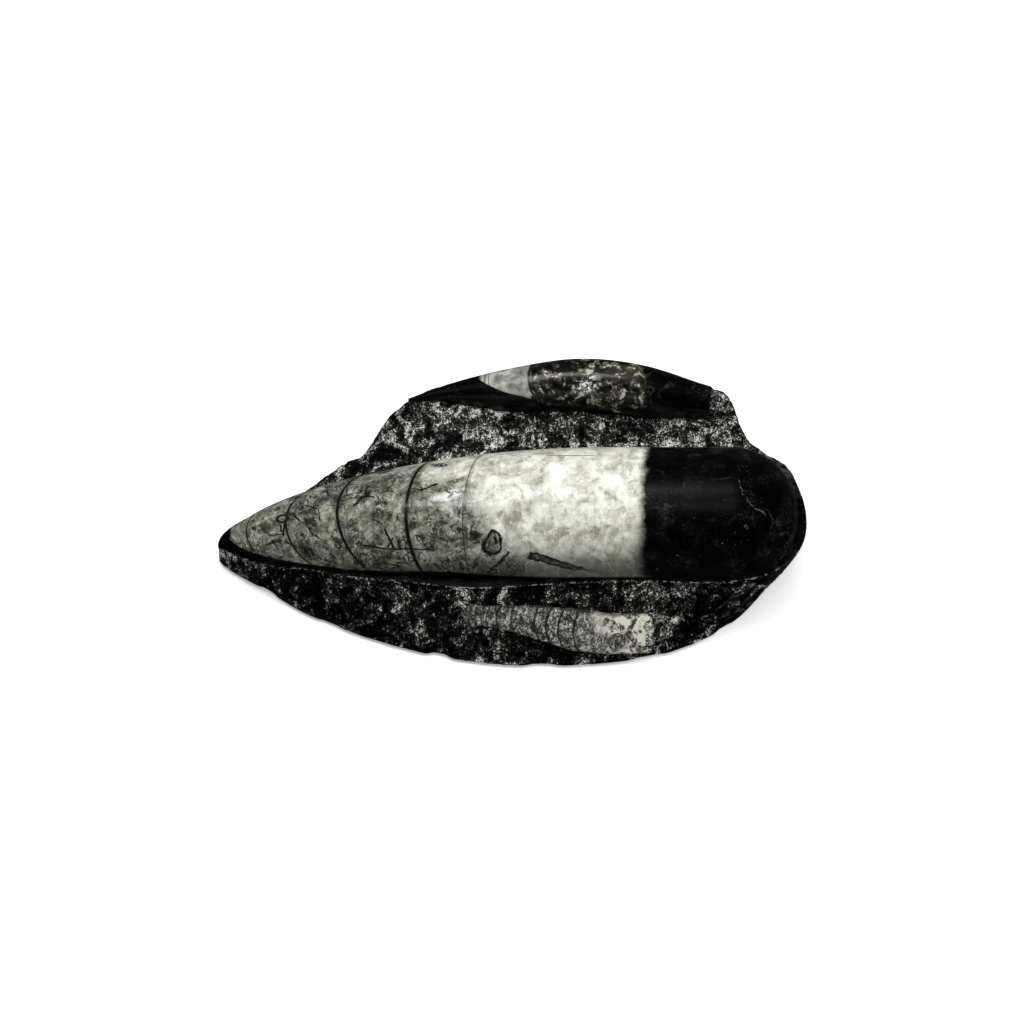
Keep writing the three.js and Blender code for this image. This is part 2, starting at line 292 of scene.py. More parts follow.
def matrix_block():
    x = stations(STONE_LEFT, STONE_RIGHT, STONE_STATIONS)
    chamfer = base_chamfer(x)
    inset, lift = chamfer[:, None] * [1, 0], chamfer[:, None] * [0, 1]
    front, back = stone_line(FRONT_BASE_EDGE, x), stone_line(BACK_BASE_EDGE, x)
    front[:, 0] += bitten_foot(x)
    crease, under_axis = stone_line(FRONT_CREASE, x), stone_line(LINE_UNDER_AXIS, x)
    channel, back_top = stone_line(CHANNEL_FRONT, x), stone_line(BACK_TOP_EDGE, x)
    reach = curve_through(POLISH_REACH, x)[:, None]
    polish_end = channel + (back_top - channel) * np.clip(reach, 0.02, 0.95)
    strips = [
        (edge(front + inset, front + lift, 1), ROUGH),
        (edge(front + lift, crease, FRONT_STEPS, FRONT_BULGE * chamfer / BASE_CHAMFER), ROUGH),
        (edge(crease, under_axis, LEDGE_STEPS), POLISHED),
        (edge(under_axis, channel, HIDDEN_STEPS), POLISHED),
        (edge(channel, polish_end, HIDDEN_STEPS), POLISHED),
        (edge(polish_end, back_top, CHANNEL_STEPS), ROUGH),
        (edge(back_top, back + lift, BACK_STEPS), ROUGH),
        (edge(back + lift, back - inset, 1), ROUGH),
        (edge(back - inset, front + inset, BASE_STEPS), SAWN),
    ]
    grid = skin(x, np.concatenate([points for points, _ in strips], axis=1))
    strip_slots = np.concatenate([np.full(points.shape[1], slot) for points, slot in strips])
    ragged = 0.9 * wave(grid.reshape(-1, 3), 3, 13) + 0.5 * wave(grid.reshape(-1, 3), 1.1, 14)
    above_polish = grid[..., 2] - polish_foot(grid[..., 0]) + ragged.reshape(grid.shape[:2])
    in_front = (np.arange(grid.shape[1]) <= FRONT_STEPS)[None]
    roughen(grid, strip_slots, np.where(in_front, smooth_step(above_polish, 0, -1.5), 1))
    slots = np.where(in_front & (above_polish > 0), POLISHED, strip_slots[None])
    return closed_mesh("stone_block", grid, slots[:-1])


def polish_foot(x):
    """The height down to which the front face is polished: only at its right end."""
    lowered = POLISH_HEIGHT - np.maximum(x - POLISH_FROM, 0) ** POLISH_DROP
    return np.where(x < POLISH_FROM, 99, np.maximum(lowered, POLISH_FLOOR))


def roughen(grid, strip_slots, strength):
    """Moves the rough strips' points along their normals, fading out towards the strips' clean edges."""
    across = grid.shape[1]
    normals = grid_normals(grid)
    lengths = np.linalg.norm(np.roll(grid, -1, axis=1) - grid, axis=2)
    rough_point = (strip_slots == ROUGH) & (np.roll(strip_slots, 1) == ROUGH)
    travel = np.where(rough_point[None], lengths, 0)
    to_edge = np.full(grid.shape[:2], 1e3)
    for order in (range(across), reversed(range(across))):
        distance = np.zeros(grid.shape[0])
        for j in order:
            distance = (distance + lengths[:, j]) * rough_point[j]
            to_edge[:, j] = np.minimum(to_edge[:, j], distance)
    fade = smooth_step(to_edge, 0, 1.6)
    on_base = smooth_step(grid[..., 2], 0, 0.8)
    chosen = np.broadcast_to(rough_point, travel.shape)
    place = grid[chosen]
    is_front = place[:, 1] < MAIN_AXIS_Y
    moved = chiselled(place, 1)
    moved += np.where(is_front, gouges(place), 0)
    shift = np.zeros(grid.shape[:2])
    shift[chosen] = moved
    grid += normals * (shift * strength * fade * np.maximum(on_base, 0.35))[..., None]
    grid[..., 2] = np.maximum(grid[..., 2], 0)


def arch(y, height, radius, depth, arc_steps):
    """Sections from the front wall's foot over the arch to the back wall's foot and back underneath."""
    angle = np.pi * (1 - np.arange(arc_steps + 1) / arc_steps)
    across = y[:, None] + radius[:, None] * np.cos(angle)
    up = height[:, None] + radius[:, None] * np.sin(angle)
    top = np.stack([across, up], axis=-1)
    back_foot = np.stack([y + radius, height - depth], axis=-1)
    front_foot = np.stack([y - radius, height - depth], axis=-1)
    back_wall = edge(top[:, -1], back_foot, WALL_STEPS)[:, 1:]
    front_wall = edge(front_foot, top[:, 0], WALL_STEPS)
    return np.concatenate([top, back_wall, edge(back_foot, front_foot, 1), front_wall], axis=1)


# Chips out of the large cone: place along it, angle from the front in degrees, half size and depth.
CHIPS = [(-20.8, 118, 2.2, 0.5), (-17.5, 122, 1.6, 0.35), (-23.4, 121, 1.5, 0.3), (34, 138, 1.4, 0.25)]


def main_cone():
    x = stations(MAIN_TIP, MAIN_END, MAIN_STATIONS)
    height = main_axis_height(x)
    depth = height - stone_line(CHANNEL_FRONT, x)[:, 1] + WALL_SINK
    sections = arch(np.full_like(x, MAIN_AXIS_Y), height, main_radius(x), depth, MAIN_ARC_STEPS)
    grid = skin(x, sections)
    normals = grid_normals(grid)
    for along, degrees, half, deep in CHIPS:
        radius = main_radius(np.array([along]))[0]
        turn = math.radians(degrees)
        middle = np.array([along, MAIN_AXIS_Y - radius * math.cos(turn),
                           main_axis_height(np.array([along]))[0] + radius * math.sin(turn)])
        near = np.linalg.norm(grid - middle, axis=2)
        grid -= normals * (deep * smooth_step(near, half, 0.25 * half))[..., None]
    return closed_mesh("main_cone", grid, np.full((MAIN_STATIONS, grid.shape[1]), MAIN))


BREAK_START, BREAK_DEPTH, BREAK_SLANT = 54, 0.6, -0.2


def second_cone():
    x = stations(SECOND_AXIS[0][0], SECOND_AXIS[-1][0], SECOND_STATIONS)
    y, height = second_axis(x)
    radius = curve_through(SECOND_RADIUS, x)
    grid = skin(x, arch(y, height, radius, np.full_like(x, SECOND_WALL), SECOND_ARC_STEPS))
    normals = grid_normals(grid)
    flat = grid.reshape(-1, 3)
    ragged = flat[:, 0] + 1.3 * wave(flat, 3, 8) + BREAK_SLANT * (flat[:, 1] - 30)
    broken = smooth_step(ragged, BREAK_START, BREAK_START + 1.2).reshape(grid.shape[:2])
    rough = (0.7 + chiselled(flat, -0.7)).reshape(grid.shape[:2])
    grid -= normals * (broken * rough * BREAK_DEPTH)[..., None]
    slots = np.where(broken[:-1] > 0.4, ROUGH, SECOND)
    return closed_mesh("second_cone", grid, slots)


def small_frame(x):
    """The small cone's centre, its direction up the front face and out of it, at each x, and its radius."""
    foot, crease = stone_line(FRONT_BASE_EDGE, x), stone_line(FRONT_CREASE, x)
    place = curve_through(SMALL_PLACE, x)
    up = crease - foot
    along = up / np.linalg.norm(up, axis=1, keepdims=True)
    out = np.stack([-along[:, 1], along[:, 0]], axis=-1)
    bulge = FRONT_BULGE * base_chamfer(x) / BASE_CHAMFER * np.sin(np.pi * place)
    centre = foot + up * place[:, None] + out * bulge[:, None]
    return centre, along, out, curve_through(SMALL_RADIUS, x)


def small_cone():
    x = stations(SMALL_PLACE[0][0], SMALL_PLACE[-1][0], SMALL_STATIONS)
    centre, along, out, radius = small_frame(x)
    angle = 2 * np.pi * np.arange(SMALL_ARC_STEPS) / SMALL_ARC_STEPS
    across = radius[:, None, None] * (-along[:, None] * np.cos(angle)[None, :, None])
    rise = radius[:, None, None] * SMALL_RISE * out[:, None] * np.sin(angle)[None, :, None]
    grid = skin(x, centre[:, None] + across + rise)
    flat = grid.reshape(-1, 3)
    worn = (0.22 * wave(flat, 2.6, 9) + 0.13 * wave(flat, 0.9, 10) - 0.12).reshape(grid.shape[:2])
    grid += grid_normals(grid) * np.minimum(worn, 0.1)[..., None]
    ragged = (flat[:, 0] + 2.2 * wave(flat, 2.5, 12)).reshape(grid.shape[:2])
    return closed_mesh("small_cone", grid, np.where(ragged[:-1] > 35.6, ROUGH, SMALL))


# ---- Joining ----

def join(stone, others):
    """Joins the other closed meshes to the stone as one solid, and deletes them."""
    for other in others:
        union = stone.modifiers.new("join", "BOOLEAN")
        union.operation, union.solver, union.object = "UNION", "MANIFOLD", other
        bpy.context.view_layer.objects.active = stone
        bpy.ops.object.modifier_apply(modifier=union.name)
        bpy.data.objects.remove(other)


def mesh_points(mesh):
    points = np.empty(len(mesh.vertices) * 3)
    mesh.vertices.foreach_get("co", points)
    return points.reshape(-1, 3)


def keep_places(mesh, name, columns):
    """Stores three numbers for each point of the mesh, for its materials to read."""
    made = mesh.attributes.new(name, "FLOAT_VECTOR", "POINT")
    made.data.foreach_set("vector", np.stack(columns, axis=-1).astype(np.float32).ravel())


def angle_from_front(points, y, height):
    """The angle round an axis from the front, over the top, with its jump at the bottom, inside the stone."""
    turn = np.arctan2(points[:, 2] - height, y - points[:, 1])
    return np.where(turn < -np.pi / 2, turn + 2 * np.pi, turn)


def store_cone_places(mesh):
    points = mesh_points(mesh)
    x = points[:, 0]
    turn = angle_from_front(points, MAIN_AXIS_Y, main_axis_height(x))
    keep_places(mesh, "main_place", [x, turn, main_radius(x)])
    held = np.clip(x, SECOND_AXIS[0][0], SECOND_AXIS[-1][0])
    y, height = second_axis(held)
    turn = angle_from_front(points, y, height)
    keep_places(mesh, "second_place", [x, turn, curve_through(SECOND_RADIUS, held)])
    held = np.clip(x, SMALL_PLACE[0][0], SMALL_PLACE[-1][0])
    centre, along, _, radius = small_frame(held)
    across = ((points[:, 1:] - centre) * along).sum(axis=1)
    keep_places(mesh, "small_place", [x, across / radius, radius])


# Pale dust on the front face: x, the share of the way up, half sizes in mm and in share, and strength.
# Strengths are powers of e: 1 is about three times as pale.
FRONT_DUST = [
    (-25.5, 0.42, 1.6, 0.22, 1.5), (-18.3, 0.14, 1.6, 0.16, 1.8), (-12.4, 0.58, 1.1, 0.34, 1.6),
    (-3, 0.34, 0.7, 0.12, 1.8), (9.6, 0.84, 1, 0.12, 1.6), (44.3, 0.46, 1.4, 0.3, 1.6),
    (53.8, 0.8, 1, 0.3, 1.4), (-44, 0.07, 3.4, 0.1, 2.4), (-11, 0.06, 7, 0.09, 3),
    (35.5, 0.32, 4.6, 0.32, 2.8), (51, 0.1, 3, 0.12, 2), (-31.5, 0.6, 3, 0.16, 1.4), (-62, 0.5, 3, 0.3, 0.9),
    (-48.5, 0.75, 2, 0.2, 1), (61, 0.6, 1.6, 0.3, 1.2), (-13.5, 0.92, 4, 0.08, 1.2),
    (38.5, 0.86, 4, 0.1, 2.2), (40, 0.4, 3, 0.3, 2.4), (30.5, 0.8, 2.4, 0.12, 1.8),
]
# On the channel: x, y, half sizes and strength.
CHANNEL_DUST = [
    (-5.4, 17.6, 3.4, 1.2, 2.4), (-25.5, 23, 3.4, 1, 2.2), (33, 18.1, 20, 0.5, 2), (56, 26, 6.5, 9, 0.7),
    (-14, 15, 8, 1.2, 1.4), (-30, 13.5, 6, 1.6, 1), (12, 24, 2.4, 2, 1), (62, 19, 5, 3.5, 0.9),
    (-2, 19.5, 2, 2.6, 0.9), (-28, 19, 1.2, 3, 0.9),
]
CHANNEL_PALENESS, BACK_PALENESS = 1.4, 1.2


def store_dust(mesh):
    """How dusty each place is, and how far it is from the front crease."""
    points = mesh_points(mesh)
    x, y, z = points.T
    held = np.clip(x, STONE_LEFT, STONE_RIGHT)
    foot, crease = stone_line(FRONT_BASE_EDGE, held), stone_line(FRONT_CREASE, held)
    share = z / np.maximum(crease[:, 1], 1)
    front = smooth_step(y, MAIN_AXIS_Y, MAIN_AXIS_Y - 4)
    dust = np.zeros_like(x)
    for at, up, half_x, half_up, strength in FRONT_DUST:
        dust += strength * front * np.exp(-(((x - at) / half_x) ** 2) - ((share - up) / half_up) ** 2)
    top = (1 - front) * smooth_step(z, 8.5, 10.5)
    dust += CHANNEL_PALENESS * top + BACK_PALENESS * (1 - front - top).clip(0)
    for at, deep, half_x, half_y, strength in CHANNEL_DUST:
        dust += strength * top * np.exp(-(((x - at) / half_x) ** 2) - ((y - deep) / half_y) ** 2)
    below_crease = np.linalg.norm(points[:, 1:] - crease, axis=1)
    keep_places(mesh, "dust", [dust, below_crease, share])


def split_shading(mesh):
    """Smooth shading that breaks where two materials meet and at sharp corners."""
    mesh.shade_smooth()
    mesh.set_sharp_from_angle(angle=math.radians(50))
    edges = np.empty(len(mesh.loops), np.int32)
    mesh.loops.foreach_get("edge_index", edges)
    sizes = np.empty(len(mesh.polygons), np.int32)
    mesh.polygons.foreach_get("loop_total", sizes)
    slots = np.empty(len(mesh.polygons), np.int32)
    mesh.polygons.foreach_get("material_index", slots)
    by_loop = np.repeat(slots, sizes)
    lowest, highest = np.full(len(mesh.edges), 99), np.full(len(mesh.edges), -1)
    np.minimum.at(lowest, edges, by_loop)
    np.maximum.at(highest, edges, by_loop)
    sharp = np.zeros(len(mesh.edges), bool)
    mesh.attributes["sharp_edge"].data.foreach_get("value", sharp)
    mesh.attributes["sharp_edge"].data.foreach_set("value", sharp | (lowest != highest))


# ---- Materials ----

class Value:
    """What one of a material's nodes gives. The usual signs make nodes that add, take away and multiply."""

    def __init__(self, shader, socket):
        self.shader, self.socket = shader, socket

    def __add__(self, other):
        return self.shader.maths("ADD", self, other)

    def __radd__(self, other):
        return self.shader.maths("ADD", other, self)

    def __sub__(self, other):
        return self.shader.maths("SUBTRACT", self, other)

    def __rsub__(self, other):
        return self.shader.maths("SUBTRACT", other, self)

    def __mul__(self, other):
        return self.shader.maths("MULTIPLY", self, other)

    def __abs__(self):
        return self.shader.maths("ABSOLUTE", self)


def opaque(colour):
    return colour if isinstance(colour, Value) else (*colour, 1)


class Shader:
    """A material's nodes, with short calls for the kinds that the stone uses. Sizes are in millimetres."""

    def __init__(self, name):
        self.material = bpy.data.materials.new(name)
        self.material.use_nodes = True
        self.tree = self.material.node_tree
        self.tree.nodes.clear()
        self.place = self.scaled(self.result(self.node("TexCoord"), {}, "Object"), 1 / MM)

    def node(self, kind, **settings):
        made = self.tree.nodes.new("ShaderNode" + kind)
        for key, value in settings.items():
            setattr(made, key, value)
        return made

    def feed(self, made, inputs):
        """Links or sets a node's inputs, given by name or number. None leaves an input alone."""
        for key, value in inputs.items():
            if isinstance(value, Value):
                self.tree.links.new(value.socket, made.inputs[key])
            elif value is not None:
                made.inputs[key].default_value = value

    def result(self, made, inputs, output=0):
        self.feed(made, inputs)
        return Value(self, made.outputs[output])

    def parts(self, vector, kind="SeparateXYZ"):
        """The three numbers in a vector, or in a colour."""
        made = self.node(kind)
        self.feed(made, {0: vector})
        return [Value(self, socket) for socket in made.outputs]

    def split(self, attribute):
        """The three numbers that the mesh keeps under this name."""
        return self.parts(self.result(self.node("Attribute", attribute_name=attribute), {}, "Vector"))

    def maths(self, operation, *values, clamp=False):
        made = self.node("Math", operation=operation, use_clamp=clamp)
        return self.result(made, dict(enumerate(values)))

    def largest(self, *values):
        result = values[0]
        for value in values[1:]:
            result = self.maths("MAXIMUM", result, value)
        return result

    def inverse(self, value):
        return self.maths("SUBTRACT", 1, value, clamp=True)

    def vector(self, operation, *values, output=0):
        return self.result(self.node("VectorMath", operation=operation), dict(enumerate(values)), output)

    def scaled(self, vector, by):
        return self.vector("MULTIPLY", vector, by if isinstance(by, tuple) else (by, by, by))

    def shifted(self, vector, by):
        return self.vector("ADD", vector, by)

    def centred(self, vector):
        return self.shifted(vector, (-0.5, -0.5, -0.5))

    def times_number(self, vector, number):
        return self.result(self.node("VectorMath", operation="SCALE"), {0: vector, "Scale": number})

    def in_sizes(self, size, seed, place):
        """The place counted in sizes, which may differ along x, y and z, and moved on by the seed."""
        by = tuple(1 / s for s in size) if isinstance(size, tuple) else 1 / size
        return self.shifted(self.scaled(place or self.place, by), (seed, seed, seed))

    def noise(self, size, detail=4, roughness=0.5, warp=0, seed=0, place=None, output="Fac"):
        made = self.node("TexNoise")
        looks = {"Scale": 1, "Detail": detail, "Roughness": roughness, "Distortion": warp}
        return self.result(made, {"Vector": self.in_sizes(size, seed, place), **looks}, output)

    def cells(self, size, seed, place, output="Distance", feature="F1"):
        made = self.node("TexVoronoi", feature=feature)
        return self.result(made, {"Vector": self.in_sizes(size, seed, place), "Scale": 1}, output)

    def warped(self, amount, size, seed):
        """The place, pushed about by noise of the given size."""
        push = self.centred(self.noise(size, detail=2, seed=seed, output="Color"))
        return self.shifted(self.place, self.scaled(push, amount))

    def between(self, value, low, high):
        """0 below low and 1 above high, or the other way round if high is the lower, with a smooth step."""
        made = self.node("MapRange", interpolation_type="SMOOTHSTEP")
        bottom, top = (0, 1) if low < high else (1, 0)
        ends = {"From Min": min(low, high), "From Max": max(low, high), "To Min": bottom, "To Max": top}
        return self.result(made, {"Value": value, **ends}, "Result")

    def patches(self, size, low, high, **looks):
        """0 where noise of this size is below low, and 1 where it is above high."""
        return self.between(self.noise(size, **looks), low, high)

    def blend(self, share, low, high):
        made = self.node("Mix", data_type="RGBA")
        low_at, high_at = (i for i, socket in enumerate(made.inputs) if socket.type == "RGBA")
        output = next(i for i, socket in enumerate(made.outputs) if socket.type == "RGBA")
        return self.result(made, {"Factor": share, low_at: opaque(low), high_at: opaque(high)}, output)

    def spread(self, value, median, steepness, tint, most=0.75):
        """A tint times a brightness that multiplies as the value, centred on 0, adds up."""
        bright = self.maths("EXPONENT", value * steepness) * median
        return self.times_number(tint, self.maths("MINIMUM", bright, most))

    def ramp(self, value, stops):
        """A colour by value, from (value, colour) stops."""
        made = self.node("ValToRGB")
        elements = made.color_ramp.elements
        while len(elements) < len(stops):
            elements.new(1)
        for element, (at, colour) in zip(elements, stops):
            element.position, element.color = at, (*colour, 1)
        return self.result(made, {"Fac": value}, "Color")

    def bump(self, height, depth, strength=1):
        made = self.node("Bump")
        return self.result(made, {"Strength": strength, "Distance": depth * MM, "Height": height})

    def finish(self, colour, roughness, normal=None, coat=0, coat_roughness=0.1, specular=0.5):
        made = self.node("BsdfPrincipled")
        self.feed(made, {"Base Color": opaque(colour), "Roughness": roughness, "Normal": normal})
        self.feed(made, {"Coat Weight": coat, "Coat Roughness": coat_roughness})
        self.feed(made, {"Specular IOR Level": specular})
        self.feed(self.node("OutputMaterial"), {"Surface": Value(self, made.outputs[0])})
        return self.material


SOOT = (0.002, 0.002, 0.0018)


def black_polish(s):
    """Jet-black limestone with sparse flecks and faint brown veins."""
    grain = s.noise(0.7, roughness=0.65, seed=3) * 0.5 + s.noise(6, seed=2) * 0.5
    base = s.spread(grain - 0.5, 0.0008, 24, (1, 1.02, 1.08), most=0.12)
    fleck = s.patches(0.5, 0.7, 0.78, detail=1, seed=8)
    fleck = fleck * s.patches(7, 0.48, 0.62, detail=2, seed=5)
    veins = s.between(abs(s.noise(10, detail=6, warp=0.4, seed=12) - 0.5), 0.014, 0)
    veins = veins * s.patches(13, 0.5, 0.62, detail=3, seed=14)
    base = s.blend(veins * 0.4, base, (0.055, 0.05, 0.042))
    return s.blend(fleck * 0.5, base, (0.2, 0.21, 0.21))


def line_mask(s, distance, half_width):
    """1 on a line and 0 beside it, from the distance to it."""
    return s.between(abs(distance), half_width * 1.3, half_width * 0.7)


def across_facing(s, turn, radius, facing):
    """Arc length round a cone from the line at this angle, in degrees from the front."""
    return (turn - math.radians(facing)) * radius


def septum(s, x, turn, radius, at, peak, bow, half_width, wobble):
    """The edge of a chamber wall: a line that bows towards the cone's tip, most at the peak angle."""
    lean = 1 - s.maths("COSINE", turn - math.radians(peak))
    distance = x - at - lean * radius * bow
    return line_mask(s, distance + wobble, half_width)


def stretch(s, x, arc, start, end, wobble):
    """Along and off a straight stroke from start to end, given as (x, arc): (0 to 1 along it, mm off it)."""
    dx, dy = end[0] - start[0], end[1] - start[1]
    length = math.hypot(dx, dy)
    px, py = x - start[0], arc - start[1]
    along = (px * dx + py * dy) * (1 / length**2)
    off = (py * dx - px * dy) * (1 / length)
    return along, off + wobble


def stroke(s, x, arc, start, end, half_width, wobble):
    along, off = stretch(s, x, arc, start, end, wobble)
    ends = s.between(along, -0.02, 0.03) * s.between(along, 1.02, 0.95)
    return line_mask(s, off, half_width) * ends


def oval(s, x, arc, at, half, tilt, wobble):
    """0 in the middle of an oval and 1 on its outline."""
    c, n = math.cos(math.radians(tilt)), math.sin(math.radians(tilt))
    px, py = x - at[0], arc - at[1]
    u = (px * c + py * n) * (1 / half[0])
    v = (py * c - px * n) * (1 / half[1])
    reach = s.maths("SQRT", u * u + v * v)
    return reach + wobble


# The large cone's chamber walls: place, angle of the foremost point, bow, half width and darkness.
SEPTA = [
    (-71.4, 72, 0.66, 0.2, 0.9), (-60.5, 74, 0.9, 0.3, 0.97), (-46.6, 78, 0.8, 0.38, 1),
    (-28.1, 68, 0.5, 0.46, 1), (-13, 57, 0.3, 0.2, 0.65),
]
# Cracks, as (x, arc) from the line that faces up and forwards, and half width.
CRACKS = [
    ((9, 21.3), (22, 20.6), 0.16), ((-39.5, -4.8), (-33, -6.1), 0.24), ((-33, -6.1), (-20, -7.1), 0.24),
    ((-33.8, -0.6), (-31.4, -6.2), 0.3), ((-31.6, -3), (-33.2, -6), 0.2), ((-61.9, 2.4), (-61.6, 0.3), 0.24),
    ((-60.9, 2.7), (-61.1, -1), 0.26), ((-58.8, 5.4), (-56.6, 3), 0.26), ((-55.4, 7.6), (-51.8, 6), 0.18),
    ((-51.8, 6), (-51.2, 2.6), 0.18), ((-55.5, 3.8), (-53, -1.5), 0.16), ((-42.3, 6.2), (-39.2, 9), 0.4),
    ((-39.2, 9), (-38.8, 12.2), 0.26), ((-39.2, 9), (-36.6, 8.6), 0.26), ((-64.4, -1.6), (-62.4, -4.6), 0.2),
    ((-60.6, -2.6), (-57.6, -4), 0.2), ((-55.6, -4.2), (-53.6, -8.6), 0.24),
    ((-24.8, 9.6), (-19.6, 11.6), 0.3),
]
# The crushed shell by the fourth chamber: its outline and its tail, as (x, arc) and half width.
LEAF_LINES = [
    ((-5.2, -2), (-7.1, -5), 0.3), ((-7.1, -5), (-7.6, -7.8), 0.5), ((-7.6, -7.8), (-5.1, -9.2), 0.55),
    ((-5.1, -9.2), (-3, -8), 0.42), ((-3, -8), (-2.8, -6.2), 0.32), ((-2.9, -6.4), (-2.9, -4.2), 0.4),
    ((-2.9, -4.2), (-5.2, -2), 0.26), ((-4.6, -4), (-4.1, -6.2), 0.42), ((-1, -8.2), (-2.1, -10.3), 0.36),
    ((-2.1, -10.3), (-3.6, -12.4), 0.52), ((-3.6, -12.6), (-7, -15.2), 0.26),
]
# Pale marks in the black end, as (x, arc) and half width.
PALE_MARKS = [
    ((59.8, 11.6), (61.3, 6.2), 0.2), ((61.3, 6.2), (64.2, 2.6), 0.16), ((64.2, 2.6), (67.8, 0.6), 0.2),
    ((61.5, -1.7), (62.3, -2.6), 0.3),
]
# Smudges: place as (x, arc), half sizes, tilt and darkness.
SMUDGES = [
    ((-39.2, 9), (3, 1.5), 40, 1), ((-15.3, 12), (3.4, 1), 20, 0.9), ((-54.2, -6), (4.2, 2.2), -35, 0.95),
    ((-66, 1.5), (2.2, 1.2), 30, 0.75), ((-26.4, -0.4), (1.8, 1.4), 20, 0.95),
    ((-22, -6.2), (3.4, 1.3), -12, 0.95), ((-59, 4.2), (2, 1.3), 0, 0.95),
    ((-54.6, 2.6), (2.6, 1.1), 0, 0.85), ((-46.4, -4.4), (1.1, 2), 0, 0.9), ((-34, -8.8), (3.4, 1.3), 0, 0.8),
    ((-43, -3), (1.2, 1.8), 0, 0.8), ((-50.6, 9.2), (2.6, 1.2), 20, 0.8), ((-19.2, 20.4), (3.4, 1.5), -8, 1),
    ((-17, -4.2), (4.6, 1), 0, 0.7), ((-35, 3.4), (4, 1.4), 25, 0.6), ((-50.4, 0.6), (2.4, 2), 0, 0.6),
    ((-35.6, 12.6), (3, 1.6), 10, 0.6), ((-60.5, -5.6), (2.4, 1), -30, 0.8),
]
# Painted highlights: pale ovals where the cone's polish shows bright specular spots: place, half sizes, tilt
# and strength.
PAINTED_HIGHLIGHTS = [
    ((-17, 7.8), (4.2, 1.5), 8, 0.85), ((-5, 11), (3.4, 1.6), 10, 0.6), ((12.8, 13.6), (4.4, 3.6), 0, 0.85),
    ((26.6, 11.4), (3.8, 3), 0, 0.85),
]
FACING = 57  # degrees from the front: the side of the large cone that is turned up and forwards


GREY_TONES = [
    (0.38, (0.04, 0.041, 0.034)), (0.43, (0.11, 0.11, 0.086)), (0.475, (0.18, 0.18, 0.137)),
    (0.51, (0.235, 0.235, 0.185)), (0.55, (0.32, 0.32, 0.265)), (0.61, (0.46, 0.46, 0.41)),
]


def grey_calcite(s):
    """Cloudy olive calcite with blue-grey clouds."""
    cloud = s.noise(6.5, warp=1.6, seed=21) * 0.5
    cloud = cloud + s.noise(2.2, detail=5, roughness=0.6, warp=2.2, seed=27) * 0.5
    base = s.ramp(cloud, GREY_TONES)
    blue = s.patches(3.8, 0.5, 0.6, detail=6, roughness=0.62, warp=1.6, seed=24)
    return s.blend(blue * 0.55, base, (0.085, 0.09, 0.095))


def cream_calcite(s, facet, small_facet):
    """Creamy white calcite in feathery crystals that each run their own way."""
    cloud = s.noise(4.5, detail=6, warp=0.9, seed=31)
    lengthwise = s.noise((2.6, 0.5, 0.5), detail=5, roughness=0.7, warp=1.4, seed=33)
    crosswise = s.noise((0.5, 2.4, 2.4), detail=5, roughness=0.7, warp=1.4, seed=35)
    way = s.between(small_facet, 0.25, 0.75)
    feather = lengthwise * way + crosswise * s.inverse(way)
    tone = cloud * 0.46 + feather * 0.4 + (facet * 0.07 + small_facet * 0.07)
    base = s.ramp(tone, [(0.37, (0.28, 0.28, 0.22)), (0.43, (0.42, 0.42, 0.345)), (0.485, (0.55, 0.55, 0.47)),
                         (0.54, (0.66, 0.66, 0.59)), (0.6, (0.78, 0.78, 0.73))])
    threads = s.noise(2.6, detail=6, roughness=0.6, warp=1.8, seed=37)
    threads = s.between(abs(threads - 0.5), 0.03, 0)
    return s.blend(threads * s.between(cloud, 0.45, 0.56) * 0.5, base, (0.84, 0.84, 0.8))


def dendrites(s, size, width, share, seed):
    """Fine branching veins, present over part of the surface."""
    field = s.noise(size, detail=6, roughness=0.6, warp=1.1, seed=seed)
    lines = s.between(abs(field - 0.5), width, width * 0.4)
    return lines * s.patches(size * 1.7, 0.62 - share * 0.2, 0.72 - share * 0.2, detail=2, seed=seed + 4)


def crystals(s, size, seed, warp):
    """Angular crystals: a random colour for each, a tone that slants across it, and the way to its edge."""
    place = s.warped(warp, size, seed=seed + 40)
    chosen = s.cells(size, output="Color", seed=seed, place=place)
    middle = s.cells(size, output="Position", seed=seed, place=place)
    rim = s.cells(size, feature="DISTANCE_TO_EDGE", seed=seed, place=place)
    own_place = s.vector("SUBTRACT", s.in_sizes(size, seed, place), middle)
    slant = s.vector("DOT_PRODUCT", own_place, s.centred(chosen), output="Value")
    return chosen, slant * 1.6 + s.parts(chosen, "SeparateColor")[0], rim


def tilted(s, chosen, share):
    """The surface's direction, tipped a little for each crystal."""
    tip = s.times_number(s.centred(chosen), share)
    normal = s.result(s.node("NewGeometry"), {}, "Normal")
    return s.vector("NORMALIZE", s.shifted(normal, tip))


